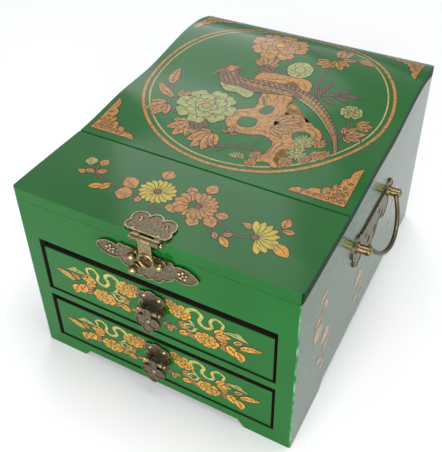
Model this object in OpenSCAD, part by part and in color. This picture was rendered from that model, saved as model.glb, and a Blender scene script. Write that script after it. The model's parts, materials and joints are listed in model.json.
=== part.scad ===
// Two-drawer lacquered jewellery chest with a sloping hinged lid.
// X runs across the front, Y from the front to the back, Z upward.
// The origin is on the ground below the middle of the case.

/* [Case] */
// Width across the two side panels
case_w = 200; // [165:1:250]
// Depth from the front face to the back face
case_d = 263; // [216:1:320]
// Thickness of each side panel
side_t = 12.6; // [10:0.1:16]
// Thickness of the back panel
back_t = 9; // [8:0.5:12]
// Thickness of the front rail and of the apron
rail_t = 12; // [9.5:0.5:15]
// Thickness of the boards that carry the drawers and the tray
board_t = 5.8; // [4:0.1:8]
// Height of the apron, up to the floor of the lower drawer
apron_h = 12.8; // [10:0.1:16]
// Height of the open gap between the feet
foot_h = 6.2; // [4:0.1:7]
// Width of each front foot
foot_front_w = 34; // [20:1:45]
// Length of each front foot along the side
foot_side_l = 52; // [30:1:70]
// Length of each back foot along the side
foot_back_l = 20.5; // [14:0.5:40]
// Sideways run of the slanted end of a foot
foot_slant = 5; // [2:0.5:8]

/* [Drawers] */
// Height of the opening of the lower drawer
lower_open_h = 43.9; // [36:0.1:54]
// Height of the opening of the upper drawer
upper_open_h = 47; // [38:0.1:58]
// Gap above the front of the lower drawer
lower_top_gap = 6; // [2:0.5:8]
// Gap above the front of the upper drawer
upper_top_gap = 7; // [2:0.5:9]
// Gap at each side of a drawer
drawer_side_gap = 2.4; // [0.5:0.1:4]
// Height that a drawer rides above its board
drawer_ride = 0.3; // [0.2:0.1:0.8]
// Gap between a closed drawer and the back panel
drawer_back_gap = 0.5; // [0.3:0.1:3]
// Distance that the drawer fronts sit behind the front face
drawer_recess = 1; // [0.4:0.1:3]
// Thickness of a drawer front
drawer_front_t = 9; // [8:0.5:12]
// Thickness of the drawer sides and back
drawer_wall = 5; // [3:0.5:7]
// Thickness of the drawer bottom
drawer_bottom_t = 3; // [2:0.5:5]
// Distance from the top of a drawer front down to its side walls
drawer_wall_drop = 4; // [2:0.5:8]

/* [Lid] */
// Height of the front rail above the upper drawer
top_rail_h = 30.5; // [28.5:0.5:38]
// Thickness of the lid boards
lid_t = 8.5; // [7:0.1:11]
// Gap between the lid and the case
lid_gap = 0.9; // [0.4:0.1:1.5]
// Overhang of the lid at the front and the sides
lid_overhang = 0.6; // [0:0.1:2]
// Radius of the lid corners seen from above
lid_corner_r = 3; // [1:0.5:8]
// Depth of the flat front board of the lid
flap_d = 71.5; // [50:0.5:85]
// Dip of the front board towards the joint with the rear board
flap_dip = 0.8; // [0:0.1:1.5]
// Size of the groove between the two lid boards
groove = 0.9; // [0.3:0.1:1.5]
// Height of the first soft step of the rear board
step1_h = 3.4; // [1:0.1:6]
// Length of the first soft step
step1_l = 60; // [40:1:80]
// Height of the second soft step of the rear board
step2_h = 7.8; // [3:0.1:12]
// Length of the second soft step
step2_l = 76; // [50:1:90]
// Distance from the crown of the lid to the back
crown_back = 33.5; // [20:0.5:45]
// Fall of the lid from its crown to the back
back_fall = 5.6; // [2:0.1:8]

/* [Mirror] */
// Distance from the joint of the lid boards to the mirror
mirror_front_gap = 22; // [18:1:40]
// Distance from the back panel to the mirror
mirror_back_gap = 18; // [10:1:40]
// Distance from each side panel to the mirror
mirror_side_gap = 14; // [6:1:40]
// Least thickness of the wedge that carries the mirror
wedge_front_t = 2.6; // [1.5:0.1:4]
// Thickness of that wedge at its back
wedge_back_t = 5.3; // [4:0.1:8]
// Width of the mirror frame bars
frame_bar = 9; // [6:0.5:14]
// Thickness of the mirror frame
frame_t = 4; // [3.2:0.1:6]
// Thickness of the mirror glass
glass_t = 3; // [2:0.1:3]

/* [Tray] */
// Thickness of the velvet lining
lining_t = 1.2; // [0.8:0.1:2]
// Distance from the rim down to the edge of a lining
lining_drop = 2.5; // [1:0.5:6]
// Height of the tray dividers
divider_h = 14; // [8:0.5:16]
// Thickness of the tray dividers
divider_t = 4; // [2.5:0.5:6]
// Depth of the ring cushion compartment
ring_bay_d = 64; // [45:1:80]
// Number of rolls on the ring cushion
ring_rolls = 5; // [3:1:6]

/* [Lock] */
// Sideways shift of the hasp and the studs from the middle
lock_shift = 2.5; // [0:0.5:4]
// Thickness of the brass sheet
sheet_t = 1.1; // [0.8:0.1:1.6]
// Height of the raised rim on the brass sheet
rim_t = 0.4; // [0.2:0.1:0.8]
// Width of that rim
rim_w = 0.8; // [0.5:0.1:1.2]
// Distance from the top of the rail down to the wings of the lock plate
lock_drop = 11.2; // [10:0.1:13]
// Distance from the top of the rail down to the ring of the hasp
ring_drop = 6.6; // [5:0.1:9]
// Outer radius of the ring of the hasp
ring_r = 6.4; // [5.8:0.1:7]
// Radius of the hole in that ring
ring_hole_r = 4.1; // [3.8:0.1:4.5]

/* [Handles] */
// Distance between the two posts of a side handle
post_gap = 68; // [50:1:90]
// Height of the side handles
handle_z = 98.5; // [80:0.5:105]
// Distance of the side handles behind the middle
handle_y = 2; // [-20:1:20]
// Angle at which a side handle hangs away from its side
bail_angle = 25; // [5:1:40]
// Diameter of the wire of a side handle
bail_wire = 3.2; // [2.6:0.1:4]
// Depth of the bow of a side handle
bail_depth = 20; // [14:1:28]

/* [Hinges] */
// Distance between the two lid hinges
hinge_gap = 118; // [80:1:140]
// Width of a hinge
hinge_w = 24; // [18:1:36]
// Radius of a hinge barrel
barrel_r = 2.1; // [1.9:0.1:2.6]
// Radius of a hinge pin
pin_r = 1; // [0.8:0.05:1.2]
// Clearance around every pin
pin_clear = 0.05; // [0.03:0.01:0.08]

/* [Hidden] */
$fn = 48;

// Colours of the finishes
lacquer = "#2f7d45";
bare_wood = "#1c1a16";
brass = "#9a8350";
old_brass = "#6f6347";
velvet = "#7c1f2a";
silver = "#cfd6da";

// Levels of the case
front_y = -case_d / 2;
back_y = case_d / 2;
inner_w = case_w - 2 * side_t;
inner_back_y = back_y - back_t;
z_floor = [apron_h, apron_h + lower_open_h + board_t];
open_h = [lower_open_h, upper_open_h];
top_gap = [lower_top_gap, upper_top_gap];
z_rail = z_floor[1] + upper_open_h;
case_h = z_rail + top_rail_h;
tray_z = z_rail + board_t;
tray_front_y = front_y + rail_t;
LOWER = 0;
UPPER = 1;

// Lid curve
crease_y = front_y + flap_d;
crown_y = back_y - crown_back;
curve_step = 4;
eps = 0.01;
function ease(t) = let (c = min(1, max(0, t))) c * c * (3 - 2 * c);
function soft_rise(y) = step1_h * ease((y - crease_y) / step1_l)
    + step2_h * ease((y - crown_y + step2_l) / step2_l)
    - back_fall * pow(max(0, (y - crown_y) / crown_back), 2);
// Every piece along the curve bends at the same knots, so their faces match
function knot(k) = crease_y + k * curve_step;
function knot_before(y) = floor((y - crease_y) / curve_step);
function rise(y) = let (k = knot_before(y), t = (y - knot(k)) / curve_step)
    soft_rise(knot(k)) * (1 - t) + soft_rise(knot(k + 1)) * t;
function lid_under(y) = case_h + lid_gap + rise(y);
function span(y0, y1) = concat([y0],
    [for (k = [knot_before(y0):knot_before(y1)]) if (knot(k) > y0 + eps && knot(k) < y1 - eps) knot(k)], [y1]);
function reversed(v) = [for (i = [len(v) - 1:-1:0]) v[i]];

// Drawers
drawer_w = inner_w - 2 * drawer_side_gap;
drawer_front_y = front_y + drawer_recess;
drawer_box_y = drawer_front_y + drawer_front_t;
drawer_back_y = inner_back_y - drawer_back_gap;
function drawer_z(i) = z_floor[i] + drawer_ride;
function drawer_front_h(i) = open_h[i] - top_gap[i] - drawer_ride;
function drawer_wall_h(i) = drawer_front_h(i) - drawer_wall_drop;

// Mirror plane
mirror_y = [crease_y + mirror_front_gap, inner_back_y - mirror_back_gap];
mirror_z = [lid_under(mirror_y[0]) - wedge_front_t, lid_under(mirror_y[1]) - wedge_back_t];
mirror_w = inner_w - 2 * mirror_side_gap;
mirror_run = mirror_y[1] - mirror_y[0];
mirror_lift = mirror_z[1] - mirror_z[0];
mirror_l = norm([mirror_run, mirror_lift]);
mirror_tilt = atan2(mirror_lift, mirror_run);
glass_fit = 0.1;
batten_w = 26;
batten_t = 3;
batten_end_gap = 4;

// Tray
tray_l = inner_back_y - tray_front_y;
cross_y = tray_front_y + lining_t + ring_bay_d;
divider_z = tray_z + lining_t;
lined_w = inner_w - 2 * lining_t;
ring_base_h = 4;
ring_side_gap = 0.8;
ring_roll_r = (ring_bay_d - 2 * ring_side_gap) / ring_rolls / 2;

// Nails and studs
nail_dome_r = 1.84;
nail_dome_sink = 0.88;
nail_shank_r = 0.7;
nail_l = 5;
shank_clear = 0.03;
bore_over = 0.5;

// Lock
face_y = front_y;
lock_z = case_h - lock_drop;
ring_z = case_h - ring_drop;
stud_reach = ring_r + 3.5;
stud_low_z = ring_z - 11;
stud_ball_r = 2.9;
stud_foot_r = 1.9;
stud_foot_h = 1.7;
stud_bead_r = 0.8;
stud_at = [[lock_shift - stud_reach, ring_z], [lock_shift + stud_reach, ring_z],
    [lock_shift - stud_reach, stud_low_z]];
wing_tip = 37;
wing_half_l = 11.2;
wing_half_h = 6.6;
lock_lobes = [[11.6, -1.4, 9.2], [7, -9.6, 4.8], [17.4, 5.4, 2.6], [0, -10.2, 4.8]];
lock_body_w = 31;
lock_body_z = [-8, 7.6];
petal_ring_r = 2.6;
petal_r = 1.25;
petals = 5;
boss_r = 2.9;
boss_h = 1;
keyhole_r = 0.9;
keyhole_l = 2;

// Hasp
lid_front_y = front_y - lid_overhang;
hasp_barrel_r = 2.2;
pin_bead_r = 1.45;
hasp_pin_y = lid_front_y - hasp_barrel_r - 0.15;
lid_top_z = case_h + lid_gap + lid_t;
hasp_pin_z = lid_top_z - 0.6;
strap_t = 1.5;
ring_bead_r = 0.8;
strap_y = hasp_pin_y - 0.1;
knuckle_half = 4.7;
knuckle_gap = 0.25;
barrel_half = 9.8;
hasp_nail_at = [[-9, 11.6], [9, 11.6]];
hasp_lobes = [[9.4, 11.4, 6.2], [11.6, 4.9, 4.3], [0, 13.6, 5.2]];
hasp_body_w = 18;
hasp_body_y = [0.6, 12.6];
hasp_tongue = 3;

// Side handles
post_r = 3.25;
post_l = 11.6;
post_shank_r = 1.6;
post_shank_l = 8;
bail_axis = post_l - post_r - 0.4;
plate_t = 0.9;
plate_end_r = 9.4;
plate_lobe_r = 8.6;
plate_heart_r = 14.6;
plate_shoulder_r = 10.2;
plate_drop = 12.2;
plate_body_z = [-14.2, 6];
plate_lobes = [[post_gap / 2, 0, plate_end_r], [post_gap / 2 - 5, -plate_drop, plate_lobe_r],
    [plate_heart_r - 4, -4, plate_shoulder_r], [0, -plate_drop, plate_heart_r]];
plate_hole_at = [[6.5, -15], [14.5, -5], [22.5, -12.5]];
plate_hole_r = [3.1, 2.3, 2.8];
bail_half = post_gap / 2 - post_r - 1;
bail_stub_r = 1.5;

// Hinges
hinge_z = case_h + rise(back_y) + lid_gap / 2;
hinge_y = back_y + barrel_r + 0.15;
hinge_at = [-hinge_gap / 2, hinge_gap / 2];
leaf_t = 1;
case_leaf_h = 15;
lid_leaf_h = 7.4;
hinge_nail_x = 7;

// Drawer pulls, measured from the pull pin
pull_top = 15;
pull_top_gap = 0.8;
pull_stand = 4;
pull_pin_r = 0.8;
pull_barrel_r = 1.8;
pull_barrel_half = 4.2;
pull_lug_w = 2.2;
pull_lug_gap = 0.25;
pull_bead_r = 1.5;
pull_leaf_t = 1.4;
leaf_dome_y = -7.5;
leaf_dome_r = 2.9;
pull_tilt = 5;
pull_nail_at = [[-5.6, 8.6], [5.6, 8.6]];
pull_lobes = [[5.6, 8.4, 4.6], [5.4, 0.4, 4.8], [0, 10.4, 4.6], [0, -7, 5]];
pull_body_w = 12;
pull_body_z = [-6, 9];
leaf_lobes = [[4.8, -7.2, 4.5], [0, -12.8, 4.2], [0, 0.7, 2.9]];
leaf_neck_w = 5.8;
leaf_neck_l = 9;
leaf_neck_top = 0.7;
leaf_dome_sink = 1.6;
pull_face_y = drawer_front_y;
function pull_z(i) = drawer_z(i) + drawer_front_h(i) - pull_top_gap - pull_top;

// ---- Helpers ------------------------------------------------------------

// Turns a flat shape so that its own Z points out of the front, a side or the back
module on_front(y) { translate([0, y, 0]) rotate([90, 0, 0]) children(); }
module on_right(x) { translate([x, 0, 0]) rotate([90, 0, 90]) children(); }
module on_back(y) { translate([0, y, 0]) rotate([90, 0, 180]) children(); }

// A slab whose outline lies in the Y-Z plane, centred on X
module side_profile(points, w) {
    rotate([90, 0, 90]) translate([0, 0, -w / 2]) linear_extrude(w) polygon(points);
}

module block(x, y, z) {
    translate([x[0], y[0], z[0]]) cube([x[1] - x[0], y[1] - y[0], z[1] - z[0]]);
}

// An open box with a floor and four thin walls
module skin_box(x, y, z, t) {
    difference() {
        block(x, y, z);
        block([x[0] + t, x[1] - t], [y[0] + t, y[1] - t], [z[0] + t, z[1] + 1]);
    }
}

// A nail whose head sits on Z = 0
module nail() {
    intersection() {
        translate([0, 0, -nail_dome_sink]) sphere(nail_dome_r);
        cylinder(r = 2 * nail_dome_r, h = 2 * nail_dome_r);
    }
    translate([0, 0, -nail_l]) cylinder(r = nail_shank_r, h = nail_l + eps);
}

module nail_bore() {
    translate([0, 0, -nail_l - bore_over]) cylinder(r = nail_shank_r + shank_clear, h = nail_l + 4 * bore_over);
}

// Round lobes [x, y, r] of a flat outline, drawn on both sides of X = 0
module lobes(list, inset) {
    for (p = list) for (s = p[0] == 0 ? [1] : [-1, 1]) translate([s * p[0], p[1]]) circle(p[2] - inset);
}

// Sheet brass of a given outline with a raised rim
module rimmed_sheet() {
    linear_extrude(sheet_t) children(0);
    linear_extrude(sheet_t + rim_t) difference() { children(0); children(1); }
}

module barrel(x0, x1, r) { translate([x0, 0, 0]) rotate([0, 90, 0]) cylinder(r = r, h = x1 - x0); }

// ---- Case ---------------------------------------------------------------

module side_panel() {
    ys = span(front_y, back_y);
    top = [for (y = reversed(ys)) [y, case_h + rise(y)]];
    foot = [[front_y, 0], [front_y + foot_side_l, 0], [front_y + foot_side_l + foot_slant, foot_h],
        [back_y - foot_back_l - foot_slant, foot_h], [back_y - foot_back_l, 0], [back_y, 0]];
    difference() {
        translate([(case_w - side_t) / 2, 0, 0]) side_profile(concat(foot, top), side_t);
        at_posts() translate([0, 0, -post_shank_l - 0.5])
            cylinder(r = post_shank_r + shank_clear, h = post_shank_l + 2);
    }
}

module right_side() { color(lacquer) side_panel(); }
module left_side() { color(lacquer) mirror([1, 0, 0]) side_panel(); }

module back_panel() {
    ys = span(inner_back_y, back_y);
    top = [for (y = reversed(ys)) [y, case_h + rise(y)]];
    color(lacquer) difference() {
        side_profile(concat([[inner_back_y, foot_h], [back_y, foot_h]], top), inner_w);
        at_case_nails() nail_bore();
    }
}

module top_rail() {
    color(lacquer) difference() {
        block([-inner_w / 2, inner_w / 2], [front_y, front_y + rail_t], [z_rail, case_h]);
        at_studs() nail_bore();
    }
}

module front_apron() {
    foot_x = case_w / 2 - foot_front_w;
    half = [[inner_w / 2, 0], [foot_x, 0], [foot_x - foot_slant, foot_h]];
    other = [for (p = reversed(half)) [-p[0], p[1]]];
    color(lacquer) on_front(front_y + rail_t) linear_extrude(rail_t)
        polygon(concat(half, other, [[-inner_w / 2, apron_h], [inner_w / 2, apron_h]]));
}

module bottom_board() {
    color(bare_wood) block([-inner_w / 2, inner_w / 2], [front_y + rail_t, inner_back_y],
        [apron_h - board_t, apron_h]);
}

module drawer_divider() {
    color(lacquer) block([-inner_w / 2, inner_w / 2], [front_y, inner_back_y],
        [z_floor[UPPER] - board_t, z_floor[UPPER]]);
}

module tray_board() {
    color(bare_wood) block([-inner_w / 2, inner_w / 2], [tray_front_y, inner_back_y], [z_rail, tray_z]);
}

// ---- Tray ---------------------------------------------------------------

module tray_lining() {
    color(velvet) skin_box([-inner_w / 2, inner_w / 2], [tray_front_y, inner_back_y],
        [tray_z, case_h - lining_drop], lining_t);
}

module tray_divider_cross() {
    color(velvet) block([-lined_w / 2, lined_w / 2], [cross_y, cross_y + divider_t],
        [divider_z, divider_z + divider_h]);
}

module tray_divider_long() {
    color(velvet) block([-divider_t / 2, divider_t / 2], [cross_y + divider_t, inner_back_y - lining_t],
        [divider_z, divider_z + divider_h]);
}

// Half-round rolls on a flat base
module ring_cushion() {
    w = lined_w - 2 * ring_side_gap;
    y0 = tray_front_y + lining_t + ring_side_gap;
    color(velvet) {
        block([-w / 2, w / 2], [y0, y0 + ring_rolls * 2 * ring_roll_r], [divider_z, divider_z + ring_base_h]);
        for (i = [0:ring_rolls - 1]) translate([0, y0 + (2 * i + 1) * ring_roll_r, divider_z + ring_base_h - eps])
            intersection() {
                barrel(-w / 2, w / 2, ring_roll_r);
                block([-w, w], [-w, w], [0, w]);
            }
    }
}

// ---- Lock ---------------------------------------------------------------

module wing(side, inset) {
    r = (wing_half_l * wing_half_l + wing_half_h * wing_half_h) / (2 * wing_half_h);
    intersection_for (s = [-1, 1])
        translate([side * (wing_tip - wing_half_l), lock_z + s * (r - wing_half_h)]) circle(r - inset, $fn = 96);
}

// Cloud-shaped lock plate: a lobed body between two pointed leaves
module lock_outline(inset) {
    for (s = [-1, 1]) wing(s, inset);
    translate([0, lock_z]) {
        lobes(lock_lobes, inset);
        translate([inset - lock_body_w / 2, lock_body_z[0]])
            square([lock_body_w - 2 * inset, lock_body_z[1] - lock_body_z[0] - inset]);
    }
}

module lock_plate() {
    color(old_brass) difference() {
        on_front(face_y) {
            rimmed_sheet() { lock_outline(0); lock_outline(rim_w); }
            for (s = [-1, 1]) translate([s * (wing_tip - wing_half_l), lock_z, sheet_t]) {
                sphere(petal_r * 0.8);
                for (i = [0:petals - 1]) rotate(90 + i * 360 / petals) translate([petal_ring_r, 0, 0])
                    sphere(petal_r);
            }
            translate([lock_shift, ring_z, 0]) cylinder(r = boss_r, h = sheet_t + boss_h);
        }
        on_front(face_y - sheet_t) translate([lock_shift, ring_z, 0]) {
            cylinder(r = keyhole_r, h = 3);
            translate([-keyhole_r / 2, -keyhole_l, 0]) cube([keyhole_r, keyhole_l, 3]);
        }
        at_studs() nail_bore();
    }
}

// Places of the studs, on the face of the lock plate
module at_studs() {
    for (p = stud_at) on_front(face_y - sheet_t) translate([p[0], p[1], 0]) children();
}

module lock_studs() {
    color(brass) at_studs() {
        translate([0, 0, -nail_l]) cylinder(r = nail_shank_r, h = nail_l + 1);
        rotate_extrude() difference() {
            union() {
                square([stud_foot_r, stud_foot_h]);
                translate([stud_foot_r, stud_foot_h / 2]) circle(stud_bead_r);
                translate([0, stud_foot_h - 0.5 + stud_ball_r]) circle(stud_ball_r);
            }
            translate([-stud_ball_r - 1, -1]) square([stud_ball_r + 1, 4 * stud_ball_r]);
        }
    }
}

// ---- Hasp ---------------------------------------------------------------

// Outline on top of the lid, measured from the front edge of the lid
module hasp_outline(inset) {
    lobes(hasp_lobes, inset);
    translate([inset - hasp_body_w / 2, hasp_body_y[0] + inset])
        square([hasp_body_w - 2 * inset, hasp_body_y[1] - hasp_body_y[0]]);
}

module at_hasp_nails() {
    for (p = hasp_nail_at) translate([p[0], lid_front_y + p[1], lid_top_z + sheet_t]) children();
}

module at_hasp_pin() { translate([lock_shift, hasp_pin_y, hasp_pin_z]) children(); }

module hasp_plate() {
    color(old_brass) difference() {
        union() {
            translate([0, lid_front_y, lid_top_z]) rimmed_sheet() { hasp_outline(0); hasp_outline(rim_w); }
            for (s = [-1, 1]) {
                inner = s * (knuckle_half + knuckle_gap);
                outer = s * barrel_half;
                at_hasp_pin() barrel(min(inner, outer), max(inner, outer), hasp_barrel_r);
                block([lock_shift + min(inner, outer), lock_shift + max(inner, outer)],
                    [hasp_pin_y, lid_front_y + hasp_tongue], [lid_top_z, lid_top_z + sheet_t]);
            }
        }
        at_hasp_pin() barrel(-2 * barrel_half, 2 * barrel_half, pin_r + pin_clear);
        at_hasp_nails() nail_bore();
    }
}

module hasp_nails() { color(brass) at_hasp_nails() nail(); }

module hasp_pin() {
    color(brass) at_hasp_pin() {
        barrel(-barrel_half, barrel_half, pin_r);
        for (s = [-1, 1]) translate([s * (barrel_half + 0.9), 0, 0]) sphere(pin_bead_r);
    }
}

module hasp_strap() {
    drop = hasp_pin_z - ring_z;
    color(brass) difference() {
        union() {
            at_hasp_pin() barrel(-knuckle_half, knuckle_half, hasp_barrel_r);
            on_front(strap_y) translate([lock_shift, ring_z, 0]) {
                linear_extrude(strap_t) {
                    circle(ring_r);
                    translate([-knuckle_half, 0]) square([2 * knuckle_half, drop]);
                }
                rotate_extrude() translate([(ring_r + ring_hole_r) / 2, strap_t]) circle(ring_bead_r);
            }
        }
        at_hasp_pin() barrel(-2 * barrel_half, 2 * barrel_half, pin_r + pin_clear);
        on_front(strap_y + 1) translate([lock_shift, ring_z, 0]) cylinder(r = ring_hole_r, h = strap_t + 4);
    }
}

// ---- Side handles -------------------------------------------------------

module at_posts() {
    on_right(case_w / 2) for (s = [-1, 1]) translate([handle_y + s * post_gap / 2, handle_z, 0]) children();
}

// Flat outline of a handle plate, measured from the middle between the posts
module handle_outline(inset) {
    lobes(plate_lobes, inset);
    translate([-post_gap / 2, plate_body_z[0] + inset])
        square([post_gap, plate_body_z[1] - plate_body_z[0] - 2 * inset]);
}

module side_handle_plate() {
    color(old_brass) difference() {
        on_right(case_w / 2) translate([handle_y, handle_z, 0]) {
            linear_extrude(plate_t) handle_outline(0);
            linear_extrude(plate_t + rim_t) difference() { handle_outline(0); handle_outline(rim_w); }
        }
        at_posts() translate([0, 0, -1]) cylinder(r = post_shank_r + shank_clear, h = 5);
        on_right(case_w / 2) for (s = [-1, 1]) for (i = [0:len(plate_hole_at) - 1])
            translate([handle_y + s * plate_hole_at[i][0], handle_z + plate_hole_at[i][1], -1])
                cylinder(r = plate_hole_r[i], h = 5);
    }
}

// Turned posts with a cross bore near the outer end for the bail
module side_posts() {
    color(brass) difference() {
        at_posts() {
            translate([0, 0, -post_shank_l]) cylinder(r = post_shank_r, h = post_shank_l + plate_t + eps);
            translate([0, 0, plate_t]) {
                cylinder(r = post_r + 1.1, h = 1.4);
                cylinder(r = post_r, h = post_l - plate_t - post_r * 0.6 + eps);
            }
            translate([0, 0, post_l - post_r * 0.6]) intersection() {
                cylinder(r = post_r, h = post_r);
                translate([0, 0, -post_r * 0.9]) sphere(post_r * 1.35);
            }
        }
        at_bail() translate([0, -post_gap, 0]) rotate([-90, 0, 0])
            cylinder(r = bail_stub_r + pin_clear, h = 2 * post_gap);
    }
}

module at_bail() { translate([case_w / 2 + bail_axis, handle_y, handle_z]) children(); }

// A bow of wire whose ends pass through the posts
module side_bail() {
    bow_r = (bail_half * bail_half + bail_depth * bail_depth) / (2 * bail_depth);
    half_turn = asin(bail_half / bow_r);
    color(old_brass) at_bail() {
        rotate([0, -bail_angle, 0]) translate([0, 0, bow_r - bail_depth]) rotate([90, 0, 90])
            rotate(-90 - half_turn) rotate_extrude(angle = 2 * half_turn, $fn = 96)
                translate([bow_r, 0]) circle(bail_wire / 2);
        for (s = [-1, 1]) {
            translate([0, s * bail_half, 0]) sphere(bail_wire / 2 + 0.25);
            translate([0, s * bail_half, 0]) rotate([-90 * s, 0, 0])
                cylinder(r = bail_stub_r, h = 2 * post_r + 0.4);
        }
    }
}

module right_handle_plate() { side_handle_plate(); }
module right_posts() { side_posts(); }
module right_bail() { side_bail(); }
module left_handle_plate() { mirror([1, 0, 0]) side_handle_plate(); }
module left_posts() { mirror([1, 0, 0]) side_posts(); }
module left_bail() { mirror([1, 0, 0]) side_bail(); }

// ---- Lid hinges ---------------------------------------------------------

module at_hinge_pins() { for (x = hinge_at) translate([x, hinge_y, hinge_z]) children(); }

module hinge_bore() { at_hinge_pins() barrel(-hinge_w, hinge_w, pin_r + pin_clear); }

module at_case_nails() {
    for (x = hinge_at) for (s = [-1, 1])
        on_back(back_y + leaf_t) translate([-x + s * hinge_nail_x, hinge_z - case_leaf_h * 0.62, 0]) children();
}

module at_lid_nails() {
    for (x = hinge_at) for (s = [-1, 1])
        on_back(back_y + leaf_t) translate([-x + s * hinge_nail_x, hinge_z + lid_gap / 2 + lid_t / 2 + 0.6, 0])
            children();
}

// The case leaf carries the two outer knuckles, the lid leaf the middle one
module hinge_leaves_case() {
    color(old_brass) difference() {
        for (x = hinge_at) {
            block([x - hinge_w / 2, x + hinge_w / 2], [back_y, back_y + leaf_t],
                [hinge_z - case_leaf_h, hinge_z - barrel_r - 0.4]);
            for (s = [-1, 1]) {
                a = min(s * hinge_w / 6, s * hinge_w / 2) + (s > 0 ? knuckle_gap / 2 : 0);
                b = max(s * hinge_w / 6, s * hinge_w / 2) - (s > 0 ? 0 : knuckle_gap / 2);
                translate([x, hinge_y, hinge_z]) barrel(a, b, barrel_r);
                block([x + a, x + b], [back_y, back_y + leaf_t], [hinge_z - barrel_r - 0.5, hinge_z]);
            }
        }
        hinge_bore();
        at_case_nails() nail_bore();
    }
}

module hinge_leaves_lid() {
    half = hinge_w / 6 - knuckle_gap / 2;
    color(old_brass) difference() {
        for (x = hinge_at) {
            block([x - hinge_w / 2, x + hinge_w / 2], [back_y, back_y + leaf_t],
                [hinge_z + barrel_r + 0.4, hinge_z + lid_gap / 2 + lid_leaf_h]);
            translate([x, hinge_y, hinge_z]) barrel(-half, half, barrel_r);
            block([x - half, x + half], [back_y, back_y + leaf_t], [hinge_z, hinge_z + barrel_r + 0.5]);
        }
        hinge_bore();
        at_lid_nails() nail_bore();
    }
}

module hinge_nails_case() { color(brass) at_case_nails() nail(); }
module hinge_nails_lid() { color(brass) at_lid_nails() nail(); }
module hinge_pins() { color(brass) at_hinge_pins() barrel(-hinge_w / 2, hinge_w / 2, pin_r); }

// ---- Lid ----------------------------------------------------------------

module lid_plan() {
    x = case_w / 2 + lid_overhang - lid_corner_r;
    y0 = lid_front_y + lid_corner_r;
    y1 = back_y - lid_corner_r;
    linear_extrude(2 * case_h) {
        for (sx = [-x, x]) for (y = [y0, y1]) translate([sx, y]) circle(lid_corner_r);
        translate([-x, lid_front_y]) square([2 * x, back_y - lid_front_y]);
        translate([-x - lid_corner_r, y0]) square([2 * (x + lid_corner_r), y1 - y0]);
    }
}

module lid_front_board() {
    dip_z = lid_top_z - flap_dip;
    points = [[lid_front_y, case_h + lid_gap], [crease_y, case_h + lid_gap], [crease_y, dip_z - groove],
        [crease_y - groove, dip_z], [lid_front_y + flap_d / 3, lid_top_z], [lid_front_y, lid_top_z]];
    color(lacquer) difference() {
        intersection() { side_profile(points, 2 * case_w); lid_plan(); }
        at_hasp_nails() nail_bore();
    }
}

// The rear board rises in two soft steps and rounds over at the back
module lid_rear_board() {
    ys = span(crease_y + groove, back_y);
    top = [for (y = reversed(ys)) [y, lid_under(y) + lid_t - flap_dip * (1 - ease((y - crease_y) / step1_l))]];
    under = [for (y = span(crease_y, back_y)) [y, lid_under(y)]];
    edge = [[crease_y, lid_top_z - flap_dip - groove]];
    color(lacquer) difference() {
        intersection() { side_profile(concat(under, top, edge), 2 * case_w); lid_plan(); }
        at_lid_nails() nail_bore();
    }
}

// A strip glued under both boards where they meet
module lid_batten() {
    z = case_h + lid_gap;
    y0 = crease_y - batten_w / 2;
    ys = span(y0, y0 + batten_w);
    w = lined_w - 2 * batten_end_gap;
    color(bare_wood) side_profile(concat([for (y = reversed(ys)) [y, lid_under(y)]],
        [[y0, z - batten_t], [y0 + batten_w, z - batten_t]]), w);
}

module on_mirror() { translate([0, mirror_y[0], mirror_z[0]]) rotate([mirror_tilt, 0, 0]) children(); }

// Fills the space between the curved lid and the flat mirror
module mirror_wedge() {
    top = [for (y = reversed(span(mirror_y[0], mirror_y[1]))) [y, lid_under(y)]];
    color(bare_wood) side_profile(concat([[mirror_y[0], mirror_z[0]], [mirror_y[1], mirror_z[1]]], top), mirror_w);
}

module mirror_frame() {
    color(lacquer) on_mirror() difference() {
        block([-mirror_w / 2, mirror_w / 2], [0, mirror_l], [-frame_t, 0]);
        block([frame_bar - mirror_w / 2, mirror_w / 2 - frame_bar], [frame_bar, mirror_l - frame_bar],
            [-frame_t - 1, 1]);
    }
}

module mirror_glass() {
    edge = frame_bar + glass_fit;
    color(silver) on_mirror() block([edge - mirror_w / 2, mirror_w / 2 - edge], [edge, mirror_l - edge],
        [-glass_t, 0]);
}

// ---- Drawers ------------------------------------------------------------

module drawer_front(i) {
    color(lacquer) difference() {
        block([-drawer_w / 2, drawer_w / 2], [drawer_front_y, drawer_box_y],
            [drawer_z(i), drawer_z(i) + drawer_front_h(i)]);
        at_pull_nails(i) nail_bore();
    }
}

module drawer_side(i, s) {
    outer = s * drawer_w / 2;
    inner = outer - s * drawer_wall;
    color(bare_wood) block([min(inner, outer), max(inner, outer)], [drawer_box_y, drawer_back_y],
        [drawer_z(i), drawer_z(i) + drawer_wall_h(i)]);
}

module drawer_back(i) {
    half = drawer_w / 2 - drawer_wall;
    color(bare_wood) block([-half, half], [drawer_back_y - drawer_wall, drawer_back_y],
        [drawer_z(i), drawer_z(i) + drawer_wall_h(i)]);
}

module drawer_bottom(i) {
    half = drawer_w / 2 - drawer_wall;
    color(bare_wood) block([-half, half], [drawer_box_y, drawer_back_y - drawer_wall],
        [drawer_z(i), drawer_z(i) + drawer_bottom_t]);
}

module drawer_lining(i) {
    half = drawer_w / 2 - drawer_wall;
    color(velvet) skin_box([-half, half], [drawer_box_y, drawer_back_y - drawer_wall],
        [drawer_z(i) + drawer_bottom_t, drawer_z(i) + drawer_wall_h(i) - lining_drop], lining_t);
}

// ---- Drawer pulls -------------------------------------------------------

module pull_outline(inset) {
    lobes(pull_lobes, inset);
    translate([inset - pull_body_w / 2, pull_body_z[0] + inset])
        square([pull_body_w - 2 * inset, pull_body_z[1] - pull_body_z[0] - 2 * inset]);
}

module at_pull_nails(i) {
    for (p = pull_nail_at) on_front(pull_face_y - sheet_t) translate([p[0], pull_z(i) + p[1], 0]) children();
}

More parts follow.
